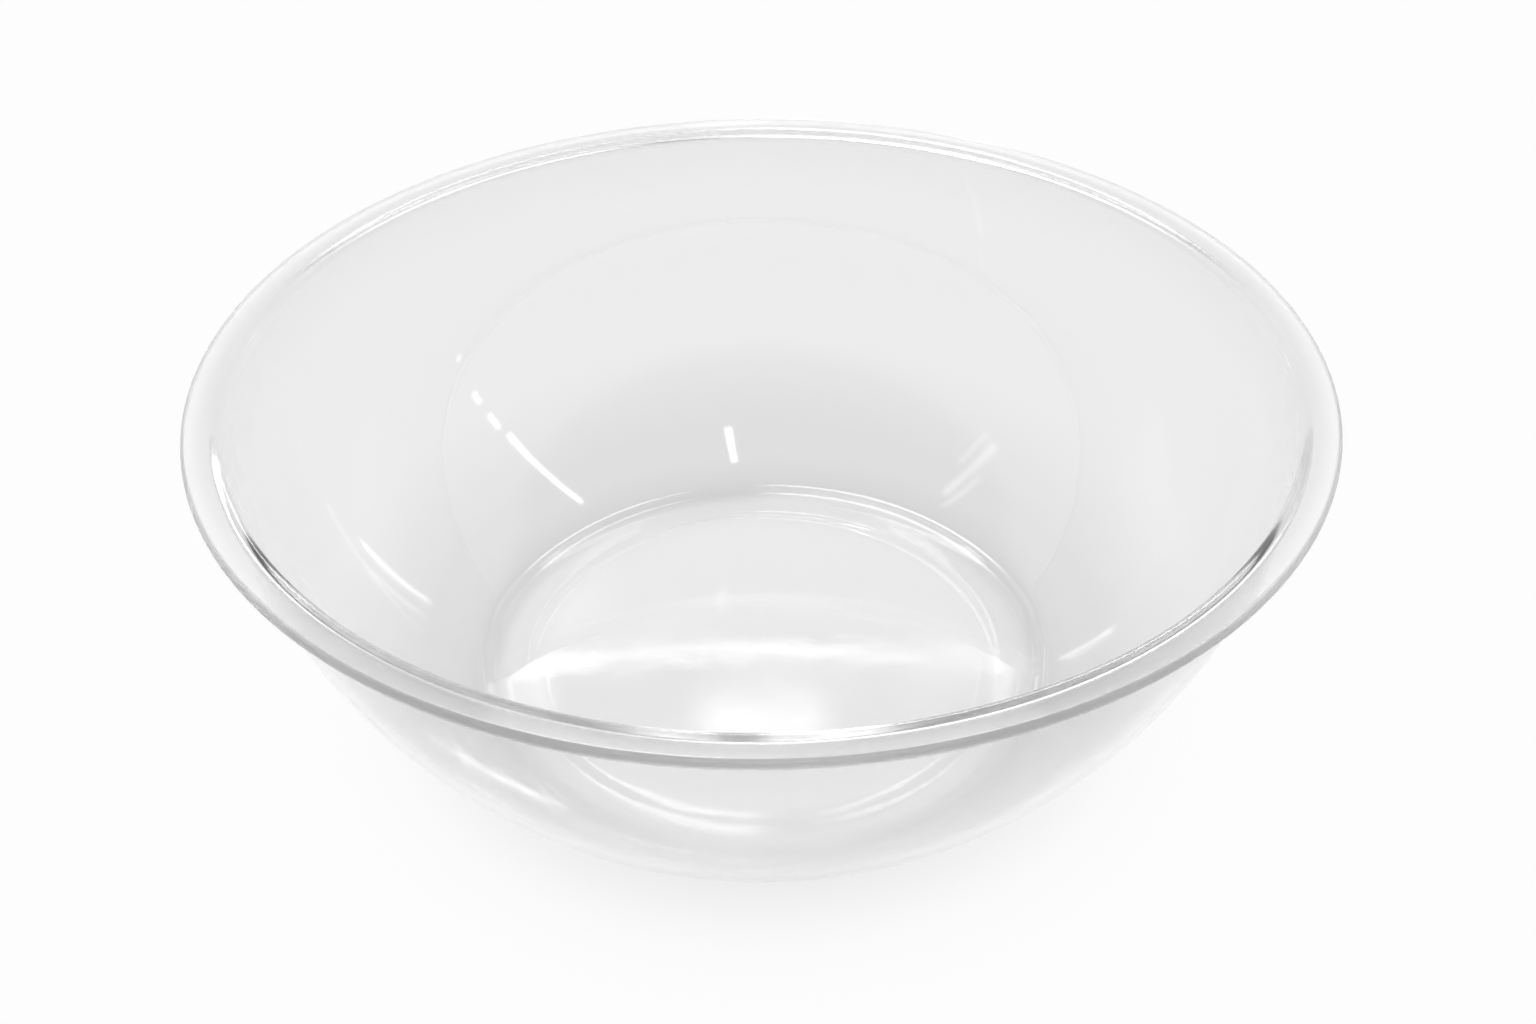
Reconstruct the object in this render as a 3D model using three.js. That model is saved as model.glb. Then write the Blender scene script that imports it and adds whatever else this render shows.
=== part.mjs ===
// Clear polycarbonate serving bowl: one injection moulding with a flat-flanged rim, a curved
// wall, and a floor that stands on a moulded foot ring.
// Millimetres, +Z up. The origin is the middle of the base, on the plane that the bowl stands on.
import * as THREE from "three";

// Overall size
const RIM_DIAMETER = 381;
const HEIGHT = 133;

// Wall
const WALL_THICKNESS = 3;
const WALL_BASE_RADIUS = 107.5; // where the outer wall's curve would reach the table
const WALL_TOP_SLOPE = 83.7; // degrees above level, where the outer wall reaches the rim

// Rim
const FLANGE_OVERHANG = 10.5; // from the outer wall to the rim's edge
const FLANGE_THICKNESS = 4; // its edge is a half round of this thickness
const FLANGE_FILLET = 2.5; // under the flange, against the outer wall
const LIP_ROUNDING = 4; // from the flange's top over to the inner wall

// Base
const FLOOR_THICKNESS = 3; // inside the foot ring
const FLOOR_FILLET = 8; // from the floor up into the inner wall
const BASE_CORNER_RADIUS = 20; // from the foot ring up into the outer wall
const FOOT_RING_WIDTH = 9; // the flat that the bowl stands on
const FOOT_RING_DEPTH = 0.7; // how far the ring stands proud of the floor's underside
const FOOT_RING_RAMP = 7.5; // across the slope from the ring up to the floor's underside

// Fineness of the facets
const CHORD_ERROR = 0.08;
const TURN_STEPS = 72;

const RIGHT_ANGLE = Math.PI / 2;
const rimRadius = RIM_DIAMETER / 2;
const flangeUnderside = HEIGHT - FLANGE_THICKNESS;
const floorTop = FOOT_RING_DEPTH + FLOOR_THICKNESS;

// The outer wall is one arc. It runs from the base radius, at table height, to the underside of
// the flange, and has the given slope there.
const topSlope = THREE.MathUtils.degToRad(WALL_TOP_SLOPE);
const wallTop = new THREE.Vector2(rimRadius - FLANGE_OVERHANG, flangeUnderside);
const wallBase = new THREE.Vector2(WALL_BASE_RADIUS, 0);
const wallChord = wallTop.clone().sub(wallBase);
const wallRadius = wallChord.length() / (2 * Math.sin(topSlope - wallChord.angle()));
const wallCentre = new THREE.Vector2(-Math.sin(topSlope), Math.cos(topSlope))
  .multiplyScalar(wallRadius)
  .add(wallTop);
const innerWallRadius = wallRadius - WALL_THICKNESS;

// The centre, at a given height, of a rounding whose centre lies this far from the wall's own.
function roundingCentre(distance, height) {
  const rise = height - wallCentre.y;
  return new THREE.Vector2(wallCentre.x + Math.sqrt(distance ** 2 - rise ** 2), height);
}

// The direction in which a rounding and the wall touch, as an angle from the wall's centre.
function touchAngle(centre) {
  return centre.clone().sub(wallCentre).angle();
}

// Points along an arc, both ends included, with chords that stay close to the true curve.
function arc(centre, radius, from, to) {
  const widestStep = 2 * Math.acos(1 - CHORD_ERROR / radius);
  const steps = Math.ceil(Math.abs(to - from) / widestStep);
  return Array.from({ length: steps + 1 }, (_, i) => {
    const angle = from + ((to - from) * i) / steps;
    return new THREE.Vector2(Math.cos(angle), Math.sin(angle)).multiplyScalar(radius).add(centre);
  });
}

// Half of the bowl's section, from the middle of its underside, out and up round the rim, and back
// down to the middle of the floor. Each rounding is tangent to both of its neighbours.
function section() {
  const corner = roundingCentre(wallRadius - BASE_CORNER_RADIUS, BASE_CORNER_RADIUS);
  const ringBore = corner.x - FOOT_RING_WIDTH;
  const rampSlope = 2 * Math.atan(FOOT_RING_DEPTH / FOOT_RING_RAMP);
  const rampRadius = FOOT_RING_RAMP / (2 * Math.sin(rampSlope));
  const rampTop = new THREE.Vector2(ringBore - FOOT_RING_RAMP, FOOT_RING_DEPTH - rampRadius);
  const rampFoot = new THREE.Vector2(ringBore, rampRadius);
  const underside = [
    new THREE.Vector2(0, FOOT_RING_DEPTH),
    ...arc(rampTop, rampRadius, RIGHT_ANGLE, RIGHT_ANGLE - rampSlope),
    ...arc(rampFoot, rampRadius, -RIGHT_ANGLE - rampSlope, -RIGHT_ANGLE),
    ...arc(corner, BASE_CORNER_RADIUS, -RIGHT_ANGLE, touchAngle(corner) - 2 * Math.PI),
  ];

  const fillet = roundingCentre(wallRadius + FLANGE_FILLET, flangeUnderside - FLANGE_FILLET);
  const outerWall = arc(wallCentre, wallRadius, touchAngle(corner), touchAngle(fillet));
  const underFlange = arc(fillet, FLANGE_FILLET, touchAngle(fillet) - Math.PI, RIGHT_ANGLE);

  const edgeRadius = FLANGE_THICKNESS / 2;
  const edgeCentre = new THREE.Vector2(rimRadius - edgeRadius, HEIGHT - edgeRadius);
  const edge = arc(edgeCentre, edgeRadius, -RIGHT_ANGLE, RIGHT_ANGLE);

  const lip = roundingCentre(innerWallRadius + LIP_ROUNDING, HEIGHT - LIP_ROUNDING);
  const overLip = arc(lip, LIP_ROUNDING, RIGHT_ANGLE, touchAngle(lip) - Math.PI);

  const bowlCorner = roundingCentre(innerWallRadius - FLOOR_FILLET, floorTop + FLOOR_FILLET);
  const innerWall = arc(wallCentre, innerWallRadius, touchAngle(lip), touchAngle(bowlCorner));
  const floor = [
    ...arc(bowlCorner, FLOOR_FILLET, touchAngle(bowlCorner) - 2 * Math.PI, -RIGHT_ANGLE),
    new THREE.Vector2(0, floorTop),
  ];

  return [...underside, ...outerWall, ...underFlange, ...edge, ...overLip, ...innerWall, ...floor];
}

function makeBowl() {
  const geometry = new THREE.LatheGeometry(section(), TURN_STEPS);
  geometry.rotateX(RIGHT_ANGLE); // the section is turned about Y, and the bowl stands along Z
  const clearPlastic = new THREE.MeshStandardMaterial({
    color: 0xe9edee,
    roughness: 0.06,
    metalness: 0,
    transparent: true,
    opacity: 0.3,
  });
  const bowl = new THREE.Mesh(geometry, clearPlastic);
  bowl.name = "bowl";
  return bowl;
}

const servingBowl = new THREE.Group();
servingBowl.name = "serving_bowl";
servingBowl.add(makeBowl());

export default servingBowl;
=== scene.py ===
"""Looks of a clear polycarbonate serving bowl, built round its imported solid. Metres, +Z up."""

import math

import bpy
from mathutils import Matrix, Vector, noise


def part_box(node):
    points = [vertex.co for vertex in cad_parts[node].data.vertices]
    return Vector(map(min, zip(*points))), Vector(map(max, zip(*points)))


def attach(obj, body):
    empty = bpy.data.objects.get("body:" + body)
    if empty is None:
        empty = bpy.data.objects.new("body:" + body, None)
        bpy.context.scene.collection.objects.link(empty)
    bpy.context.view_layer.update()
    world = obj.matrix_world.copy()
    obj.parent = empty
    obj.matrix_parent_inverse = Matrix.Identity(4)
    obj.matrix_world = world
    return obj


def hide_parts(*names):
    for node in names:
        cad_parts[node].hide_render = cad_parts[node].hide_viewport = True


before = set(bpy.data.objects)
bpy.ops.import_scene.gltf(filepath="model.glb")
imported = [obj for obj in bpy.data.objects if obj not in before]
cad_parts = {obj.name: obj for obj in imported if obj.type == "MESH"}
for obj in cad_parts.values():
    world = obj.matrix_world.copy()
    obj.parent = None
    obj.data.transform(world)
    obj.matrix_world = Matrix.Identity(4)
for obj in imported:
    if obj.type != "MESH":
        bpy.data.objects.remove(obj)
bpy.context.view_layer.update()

# The bowl's sizes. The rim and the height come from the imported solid.
bowl_low, bowl_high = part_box("bowl")
RIM_RADIUS = (bowl_high.x - bowl_low.x) / 2
HEIGHT = bowl_high.z
WALL_THICKNESS = 0.003
WALL_BASE_RADIUS = 0.1075
WALL_TOP_SLOPE = math.radians(83.7)
FLANGE_OVERHANG = 0.0105
FLANGE_THICKNESS = 0.004
FLANGE_FILLET = 0.0025
LIP_ROUNDING = 0.004
FLOOR_THICKNESS = 0.003
FLOOR_FILLET = 0.008
BASE_CORNER_RADIUS = 0.020
FOOT_RING_WIDTH = 0.009
FOOT_RING_DEPTH = 0.0007
FOOT_RING_RAMP = 0.0075

# Fineness of the mesh
TURN_STEPS = 360
ARC_STEP = 0.0035
SHARPEST_STEP = math.radians(7)
FLAT_STEPS = 28
SAME_POINT = 1e-6

# The moulded surface's slight waviness, with a finer wave laid over it that is shorter and lower
# by one factor. The waves fade out below the rim, and outside the bowl above the foot ring.
WAVE_HEIGHT = 0.00004
WAVE_LENGTH = 0.045
FINER_WAVE = 3
WAVE_FADE = 0.020
WAVE_FREE_RIM = 0.010
WAVE_FREE_BASE = 0.002

# The plastic. Its roughness grows with wear, on the lip and on the rim's frosted edge.
REFRACTION = 1.585
WEAR_SCALE = 22
WEAR_DETAIL = 6
WEAR_NOISE = (0.35, 0.75)
WEAR_ROUGHNESS = (0.015, 0.07)
LIP_HEIGHTS = (HEIGHT - 1.5 * LIP_ROUNDING, HEIGHT - 0.5 * LIP_ROUNDING)
LIP_ROUGHNESS = (0, 0.12)
EDGE_RADII = (RIM_RADIUS - 0.5 * FLANGE_THICKNESS, RIM_RADIUS - 0.2 * FLANGE_THICKNESS)
EDGE_ROUGHNESS = (0, 0.9)
FLOW_SCALE = 70
FLOW_DETAIL = 3
FLOW_STRENGTH = 0.3
FLOW_DEPTH = 0.00005
# How much lamp light passes each surface, by distance from the bowl's axis in metres
SHADOW = [
    (0.080, 1), (0.0900, 0.97), (0.0985, 0.93), (0.1003, 0.88), (0.104, 0.86), (0.1085, 0.87),
    (0.112, 0.91), (0.125, 0.94), (0.138, 0.98), (0.155, 1),
]
# The plastic's colour as a grey, by the same distance: its own even grey tint, with painted shade
# laid on it as dark lines where the foot ring begins and ends and along the lip, and as a darker
# band low on the wall, and white on the rim's edge, which paints that outline lighter
TINT_AND_PAINTED_SHADE = [
    (0.0895, 0.885), (0.0910, 0.78), (0.0925, 0.885), (0.0985, 0.88), (0.1000, 0.79),
    (0.1020, 0.865), (0.1190, 0.85), (0.1250, 0.815), (0.1340, 0.825), (0.1520, 0.88),
    (0.1650, 0.87), (0.1770, 0.87), (0.1778, 0.70), (0.1790, 0.70), (0.1800, 0.865),
    (0.1865, 0.865), (0.1880, 1),
]

# The camera, set by the photograph's view of the rim and the base
CAMERA_TARGET = Vector((0.00196, 0, 0.0699))
CAMERA_DISTANCE = 0.6706
CAMERA_ELEVATION = math.radians(36.99)
CAMERA_ROLL = math.radians(-0.40)
LENS = 44
SENSOR = 36

# The floor lies a hair below the foot ring, so that the two faces don't coincide.
FLOOR_REACH = 12.0
FLOOR_GAP = 0.0003
FLOOR_GREY = 0.8
FLOOR_GLOW = 0.22

OVERHEAD_ENERGY = 3.0
OVERHEAD_SPREAD = math.radians(60)
# Studio lights that show as reflections: name, azimuth from +Y towards +X, elevation, half width,
# half height, softness of the edge (all in degrees) and brightness, where 1 is white.
SOFT_BOXES = [
    ("right_strip", 98, 38, 0.9, 10, 0.5, 5),
    ("right_strip_end", 97, 24, 0.8, 1.6, 0.5, 4),
    ("right_strip_bit", 97, 18.5, 0.7, 1.2, 0.5, 3),
    ("right_strip_spot", 98, 11, 0.7, 0.8, 0.5, 3),
    ("front_lamp", 166, 57, 1.8, 4.2, 0.6, 4),
    ("left_strip", -100, 40, 1.2, 7, 0.9, 1.3),
    ("left_strip_high", -96, 44, 0.9, 5, 0.8, 1.0),
    ("left_strip_low", -104.5, 37, 0.8, 4, 0.8, 0.8),
    ("back_top", 0, 46.8, 30, 3, 0.15, 0.9),
    ("back_strip", -0.5, 41.25, 10, 0.22, 0.25, 2.4),
    ("back_strip_left", -10, 41.8, 1, 1.1, 0.5, 2.0),
    ("back_strip_right", 9.4, 41.8, 0.4, 1.0, 0.3, 2.0),
    ("back_lamp", -0.3, 43.3, 2.6, 0.6, 0.9, 2.3),
    ("back_wall", -2, 37.5, 30, 3.0, 1.5, 0.4),
    ("back_wall_left", -9, 38.5, 2, 2, 1.5, 0.6),
    ("back_rim_lamp", -1.2, 25, 1.2, 3, 0.6, 0.8),
    ("back_low_lamp", 2.5, 14, 3, 3, 1.0, 7),
    ("back_low_lamp_right", 8, 14, 0.7, 7, 0.5, 10),
    ("back_high_left", -14, 59, 13, 8.5, 2.0, 7),
    ("back_high_right", 19, 59, 8, 8, 2.0, 5),
    ("left_wall", -58, 5, 12, 10, 6, 0.2),
    ("right_wall", 58, 5, 12, 10, 6, 0.12),
    ("back_right_strip", 45, 5, 0.45, 7, 0.5, 4),
    ("back_right_strip_side", 41, 3, 0.5, 6, 0.6, 1.2),
    ("back_left_strip", -35, 8, 0.5, 5, 0.5, 3),
]
# The studio's own brightness, by the sine of the elevation
STUDIO = [
    (0, 0.98), (0.05, 0.95), (0.2, 0.74), (0.42, 0.74), (0.56, 0.68), (0.62, 0.35), (0.78, 0.2),
    (1, 0.2),
]
# Light is followed this far through the plastic.
BOUNCES = 64

RIGHT_ANGLE = math.pi / 2


class Section:
    """Half of the bowl's section as (radius, height) points, worked out as tangent arcs."""

    def __init__(self):
        top = Vector((RIM_RADIUS - FLANGE_OVERHANG, HEIGHT - FLANGE_THICKNESS))
        chord = top - Vector((WALL_BASE_RADIUS, 0))
        chord_slope = math.atan2(chord.y, chord.x)
        self.radius = chord.length / (2 * math.sin(WALL_TOP_SLOPE - chord_slope))
        inward = Vector((-math.sin(WALL_TOP_SLOPE), math.cos(WALL_TOP_SLOPE)))
        self.centre = top + inward * self.radius

    def rounding(self, distance, height):
        """The centre, at a height, of a rounding that lies this far from the wall's own centre."""
        rise = height - self.centre.y
        return Vector((self.centre.x + math.sqrt(distance**2 - rise**2), height))

    def touch(self, centre):
        """The direction from the wall's centre in which a rounding touches the wall."""
        across = centre - self.centre
        return math.atan2(across.y, across.x)

    def points(self):
        """The outside, from the middle of the underside to the top of the rim's edge, and the
        inside, from the rim's lip to the middle of the floor."""
        inner = self.radius - WALL_THICKNESS
        floor_top = FOOT_RING_DEPTH + FLOOR_THICKNESS
        under_flange = HEIGHT - FLANGE_THICKNESS
        edge = FLANGE_THICKNESS / 2

        corner = self.rounding(self.radius - BASE_CORNER_RADIUS, BASE_CORNER_RADIUS)
        bore = corner.x - FOOT_RING_WIDTH
        slope = 2 * math.atan(FOOT_RING_DEPTH / FOOT_RING_RAMP)
        bend = FOOT_RING_RAMP / (2 * math.sin(slope))
        ramp_top = Vector((bore - FOOT_RING_RAMP, FOOT_RING_DEPTH - bend))
        fillet = self.rounding(self.radius + FLANGE_FILLET, under_flange - FLANGE_FILLET)
        lip = self.rounding(inner + LIP_ROUNDING, HEIGHT - LIP_ROUNDING)
        inner_corner = self.rounding(inner - FLOOR_FILLET, floor_top + FLOOR_FILLET)
        low, high = self.touch(corner), self.touch(fillet)
        inner_high, inner_low = self.touch(lip), self.touch(inner_corner)

        outside = [
            line((0, FOOT_RING_DEPTH), (ramp_top.x, FOOT_RING_DEPTH), FLAT_STEPS),
            arc(ramp_top, bend, RIGHT_ANGLE, RIGHT_ANGLE - slope),
            arc((bore, bend), bend, -RIGHT_ANGLE - slope, -RIGHT_ANGLE),
            arc(corner, BASE_CORNER_RADIUS, -RIGHT_ANGLE, low),
            arc(self.centre, self.radius, low, high),
            arc(fillet, FLANGE_FILLET, high + math.pi, RIGHT_ANGLE),
            arc((RIM_RADIUS - edge, HEIGHT - edge), edge, -RIGHT_ANGLE, RIGHT_ANGLE),
        ]
        inside = [
            arc(lip, LIP_ROUNDING, RIGHT_ANGLE, inner_high + math.pi),
            arc(self.centre, inner, inner_high, inner_low),
            arc(inner_corner, FLOOR_FILLET, inner_low, -RIGHT_ANGLE),
            line((inner_corner.x, floor_top), (0, floor_top), FLAT_STEPS),
        ]
        return joined(outside), joined(inside)


def line(start, end, steps):
    """Points along a straight run, both ends included."""
    start, end = Vector(start), Vector(end)
    return [start.lerp(end, i / steps) for i in range(steps + 1)]


def arc(centre, radius, start, end):
    """Points along an arc, both ends included."""
    sweep = end - start
    steps = math.ceil(max(abs(sweep) * radius / ARC_STEP, abs(sweep) / SHARPEST_STEP))
    angles = [start + sweep * i / steps for i in range(steps + 1)]
    return [Vector(centre) + radius * Vector((math.cos(a), math.sin(a))) for a in angles]


def joined(runs):
    """The points of all runs in one list, each that repeats the one before it left out."""
    points = [point for run in runs for point in run]
    kept = points[:1]
    for point in points[1:]:
        if (point - kept[-1]).length > SAME_POINT:
            kept.append(point)
    return kept


def between(low, high, value):
    """How far a value lies from low to high, as 0 to 1."""
    return min(1, max(0, (value - low) / (high - low)))


def wave(place, outside):
    """How far the moulded surface stands off its true form at a place."""
    rim_end = HEIGHT - WAVE_FREE_RIM
    amount = WAVE_HEIGHT * between(rim_end, rim_end - WAVE_FADE, place.z)
    if outside:
        amount *= between(WAVE_FREE_BASE, WAVE_FREE_BASE + WAVE_FADE, place.z)
    side = Vector((0, 0, 1 if outside else 0))
    coarse = noise.noise(place / WAVE_LENGTH + side)
    fine = noise.noise(FINER_WAVE * place / WAVE_LENGTH + side) / FINER_WAVE
    return amount * (coarse + fine)


def make_bowl():
    """The moulding as one closed, smooth mesh."""
    outside, inside = Section().points()
    section = outside + inside
    rings = section[1:-1]
    vertices = [Vector((0, 0, section[0].y))]
    for number, ring in enumerate(rings):
        along = section[number + 2] - section[number]
        normal = Vector((along.y, -along.x)).normalized()
        for i in range(TURN_STEPS):
            turn = 2 * math.pi * i / TURN_STEPS
            way = Vector((math.cos(turn), math.sin(turn), 0))
            place = way * ring.x + Vector((0, 0, ring.y))
            stand_off = wave(place, number + 1 < len(outside))
            vertices.append(place + stand_off * (way * normal.x + Vector((0, 0, normal.y))))
    vertices.append(Vector((0, 0, section[-1].y)))

    def index(ring, step):
        return 1 + ring * TURN_STEPS + step % TURN_STEPS

    top_middle = len(vertices) - 1
    last = len(rings) - 1
    faces = []
    for i in range(TURN_STEPS):
        faces.append((0, index(0, i + 1), index(0, i)))
        for ring in range(last):
            this_ring = index(ring, i), index(ring, i + 1)
            next_ring = index(ring + 1, i + 1), index(ring + 1, i)
            faces.append(this_ring + next_ring)
        faces.append((top_middle, index(last, i), index(last, i + 1)))

    mesh = bpy.data.meshes.new("clear_bowl")
    mesh.from_pydata(vertices, [], faces)
    mesh.shade_smooth()
    bowl = bpy.data.objects.new("clear_bowl", mesh)
    bpy.context.scene.collection.objects.link(bowl)
    return bowl


def grey(level):
    """A grey as a colour with full alpha."""
    return level, level, level, 1


def math_node(tree, operation, *values):
    """The output of a new math node, whose inputs are numbers or other outputs."""
    node = tree.nodes.new("ShaderNodeMath")
    node.operation = operation
    for socket, value in zip(node.inputs, values):
        if isinstance(value, (int, float)):
            socket.default_value = value
        else:
            tree.links.new(value, socket)
    return node.outputs[0]


def map_range(tree, value, source, target):
    """A new node that maps an output from one range to another."""
    node = tree.nodes.new("ShaderNodeMapRange")
    node.inputs["From Min"].default_value, node.inputs["From Max"].default_value = source
    node.inputs["To Min"].default_value, node.inputs["To Max"].default_value = target
    tree.links.new(value, node.inputs["Value"])
    return node


def noise_node(tree, place, scale, detail):
    """The output of a new noise texture."""
    node = tree.nodes.new("ShaderNodeTexNoise")
    node.inputs["Scale"].default_value = scale
    node.inputs["Detail"].default_value = detail
    tree.links.new(place, node.inputs["Vector"])
    return node.outputs["Fac"]


def grey_ramp(tree, value, table):
    """The colour output of a new ramp through a table of positions and grey levels."""
    node = tree.nodes.new("ShaderNodeValToRGB")
    stops = node.color_ramp.elements
    while len(stops) < len(table):
        stops.new(1)
    for stop, (position, level) in zip(stops, table):
        stop.position = position
        stop.color = grey(level)
    tree.links.new(value, node.inputs["Fac"])
    return node.outputs["Color"]


def empty_material(name):
    """A material whose node tree is empty."""
    material = bpy.data.materials.new(name)
    material.use_nodes = True
    material.node_tree.nodes.clear()
    return material


def clear_polycarbonate():
    """Clear moulded plastic with faint flow waves, light wear and a frosted rim edge."""
    material = empty_material("clear_polycarbonate")
    tree = material.node_tree
    nodes, links = tree.nodes, tree.links
    shader = nodes.new("ShaderNodeBsdfPrincipled")
    shader.inputs["Transmission Weight"].default_value = 1
    shader.inputs["IOR"].default_value = REFRACTION

    place = nodes.new("ShaderNodeTexCoord").outputs["Object"]
    split = nodes.new("ShaderNodeSeparateXYZ")
    links.new(place, split.inputs[0])
    across = nodes.new("ShaderNodeVectorMath")
    across.operation = "MULTIPLY"
    across.inputs[1].default_value = (1, 1, 0)
    links.new(place, across.inputs[0])
    length = nodes.new("ShaderNodeVectorMath")
    length.operation = "LENGTH"
    links.new(across.outputs["Vector"], length.inputs[0])
    radius = length.outputs["Value"]

    worn = noise_node(tree, place, WEAR_SCALE, WEAR_DETAIL)
    wear = map_range(tree, worn, WEAR_NOISE, WEAR_ROUGHNESS).outputs["Result"]
    lip = map_range(tree, split.outputs["Z"], LIP_HEIGHTS, LIP_ROUGHNESS).outputs["Result"]
    edge = map_range(tree, radius, EDGE_RADII, EDGE_ROUGHNESS).outputs["Result"]
    rougher = math_node(tree, "MAXIMUM", wear, lip)
    links.new(math_node(tree, "MAXIMUM", rougher, edge), shader.inputs["Roughness"])

    bump = nodes.new("ShaderNodeBump")
    bump.inputs["Strength"].default_value = FLOW_STRENGTH
    bump.inputs["Distance"].default_value = FLOW_DEPTH
    links.new(noise_node(tree, place, FLOW_SCALE, FLOW_DETAIL), bump.inputs["Height"])
    links.new(bump.outputs["Normal"], shader.inputs["Normal"])
    # The base colour is the plastic's grey tint plus painted shade: dark rings at the foot ring
    # and lip, a darker low band, and a lightened rim edge.
    links.new(grey_ramp(tree, radius, TINT_AND_PAINTED_SHADE), shader.inputs["Base Color"])

    # Lamp light goes straight through, and is dimmed a little where the base bends into the wall.
    through = nodes.new("ShaderNodeBsdfTransparent")
    links.new(grey_ramp(tree, radius, SHADOW), through.inputs["Color"])
    path = nodes.new("ShaderNodeLightPath")
    mix = nodes.new("ShaderNodeMixShader")
    links.new(path.outputs["Is Shadow Ray"], mix.inputs["Fac"])
    links.new(shader.outputs["BSDF"], mix.inputs[1])
    links.new(through.outputs["BSDF"], mix.inputs[2])
    output = nodes.new("ShaderNodeOutputMaterial")
    links.new(mix.outputs["Shader"], output.inputs["Surface"])
    return material


def white_floor():
    """A pale floor that glows a little where it is seen, so that it shows as white."""
    material = empty_material("floor")
    tree = material.node_tree
    nodes, links = tree.nodes, tree.links
    diffuse = nodes.new("ShaderNodeBsdfDiffuse")
    diffuse.inputs["Color"].default_value = grey(FLOOR_GREY)
    glow = nodes.new("ShaderNodeEmission")
    glow.inputs["Color"].default_value = grey(FLOOR_GLOW)
    path = nodes.new("ShaderNodeLightPath").outputs
    seen = math_node(tree, "MAXIMUM", path["Is Camera Ray"], path["Is Glossy Ray"])
    seen = math_node(tree, "MAXIMUM", seen, path["Is Transmission Ray"])
    links.new(seen, glow.inputs["Strength"])
    add = nodes.new("ShaderNodeAddShader")
    links.new(diffuse.outputs[0], add.inputs[0])
    links.new(glow.outputs[0], add.inputs[1])
    output = nodes.new("ShaderNodeOutputMaterial")
    links.new(add.outputs[0], output.inputs["Surface"])
    return material


def make_floor():
    """A plain white floor, which keeps the bowl's shadow."""
    mesh = bpy.data.meshes.new("floor")
    turns = [2 * math.pi * i / TURN_STEPS for i in range(TURN_STEPS)]
    edge = [
        (FLOOR_REACH * math.cos(turn), FLOOR_REACH * math.sin(turn), -FLOOR_GAP) for turn in turns
    ]
    mesh.from_pydata(edge, [], [range(TURN_STEPS)])
    mesh.materials.append(white_floor())
    floor = bpy.data.objects.new("floor", mesh)
    bpy.context.scene.collection.objects.link(floor)


def make_world():
    """A soft studio: pale at the horizon, greyer above, with soft-edged lights."""
    world = bpy.data.worlds.new("studio")
    bpy.context.scene.world = world
    world.use_nodes = True
    tree = world.node_tree
    nodes, links = tree.nodes, tree.links
    nodes.clear()

    def within(angle, centre, half, soft):
        """1 inside an angle's range and 0 outside, with a soft edge."""
        off = math_node(tree, "SUBTRACT", angle, math.radians(centre))
        away = math_node(tree, "ABSOLUTE", off)
        ends = math.radians(half + soft), math.radians(half - soft)
        ramp = map_range(tree, away, ends, (0, 1))
        ramp.interpolation_type = "SMOOTHSTEP"
        return ramp.outputs["Result"]

    coordinate = nodes.new("ShaderNodeTexCoord")
    split = nodes.new("ShaderNodeSeparateXYZ")
    links.new(coordinate.outputs["Generated"], split.inputs[0])
    azimuth = math_node(tree, "ARCTAN2", split.outputs["X"], split.outputs["Y"])
    elevation = math_node(tree, "ARCSINE", split.outputs["Z"])

    total = grey_ramp(tree, split.outputs["Z"], STUDIO)
    for name, turn, rise, half_width, half_height, soft, brightness in SOFT_BOXES:
        sideways = within(azimuth, turn, half_width, soft)
        upright = within(elevation, rise, half_height, soft)
        shape = math_node(tree, "MULTIPLY", sideways, upright)
        total = math_node(tree, "MULTIPLY_ADD", shape, brightness, total)
        total.node.label = name

    background = nodes.new("ShaderNodeBackground")
    links.new(total, background.inputs["Color"])
    output = nodes.new("ShaderNodeOutputWorld")
    links.new(background.outputs[0], output.inputs["Surface"])
    world.cycles_visibility.diffuse = False


def make_overhead_light():
    """Wide, even light from above, which lies softly on the floor and shows in no reflection."""
    data = bpy.data.lights.new("overhead", "SUN")
    data.energy = OVERHEAD_ENERGY
    data.angle = OVERHEAD_SPREAD
    data.cycles.use_multiple_importance_sampling = False
    lamp = bpy.data.objects.new("overhead", data)
    lamp.visible_glossy = False
    lamp.visible_transmission = False
    bpy.context.scene.collection.objects.link(lamp)


def make_camera():
    """The photograph's view."""
    data = bpy.data.cameras.new("camera")
    data.lens = LENS
    data.sensor_width = SENSOR
    camera = bpy.data.objects.new("camera", data)
    back = Vector((0, -math.cos(CAMERA_ELEVATION), math.sin(CAMERA_ELEVATION)))
    camera.location = CAMERA_TARGET + back * CAMERA_DISTANCE
    look = (-back).to_track_quat("-Z", "Y").to_matrix()
    camera.rotation_euler = (look @ Matrix.Rotation(CAMERA_ROLL, 3, "Z")).to_euler()
    bpy.context.scene.collection.objects.link(camera)
    bpy.context.scene.camera = camera


bowl = make_bowl()
bowl.data.materials.append(clear_polycarbonate())
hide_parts("bowl")
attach(bowl, "root")

make_floor()
make_world()
make_overhead_light()
make_camera()

scene = bpy.context.scene
scene.view_settings.view_transform = "Standard"
scene.cycles.use_denoising = True
scene.cycles.caustics_reflective = False
scene.cycles.caustics_refractive = False
scene.cycles.max_bounces = BOUNCES
scene.cycles.glossy_bounces = BOUNCES
scene.cycles.transmission_bounces = BOUNCES
